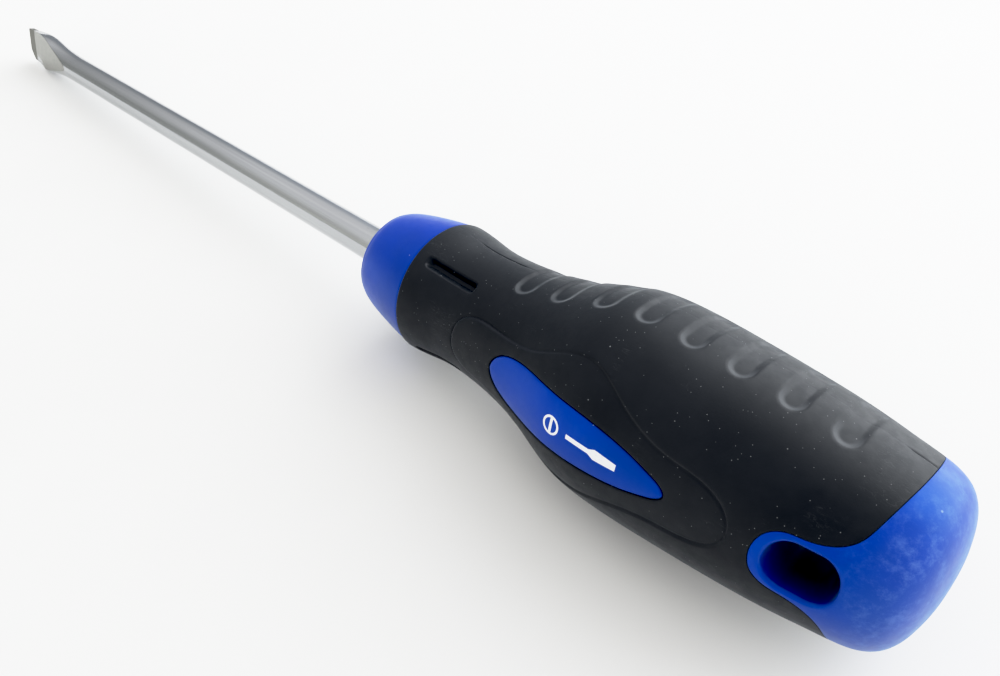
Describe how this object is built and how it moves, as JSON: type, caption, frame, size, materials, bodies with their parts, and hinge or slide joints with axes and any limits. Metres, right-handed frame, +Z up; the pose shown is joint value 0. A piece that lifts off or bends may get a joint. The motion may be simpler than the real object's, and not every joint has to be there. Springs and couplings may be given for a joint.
{
  "type": "slotted screwdriver",
  "caption": "Flat-blade screwdriver with a long round steel shank and a waisted two-colour grip handle with a hang hole.",
  "frame": {"origin": "middle of the blade's edge", "axes": "+X along the shank from the blade edge to the butt; +Z up as the tool lies on a flat bench, which is 16 degrees of roll from the plane of the blade"},
  "size_m": [0.3178, 0.0384, 0.0388],
  "materials": {
    "steel": "satin plated steel bar, ground blade faces with a darkened tip",
    "blue_plastic": "smooth injection-moulded polypropylene, royal blue, light scuffing",
    "black_grip": "satin black thermoplastic rubber with moulded relief"
  },
  "bodies": {
    "root": {"blade_shaft": "steel", "handle_core": "blue_plastic", "grip_sleeve": "black_grip"}
  },
  "joints": []
}
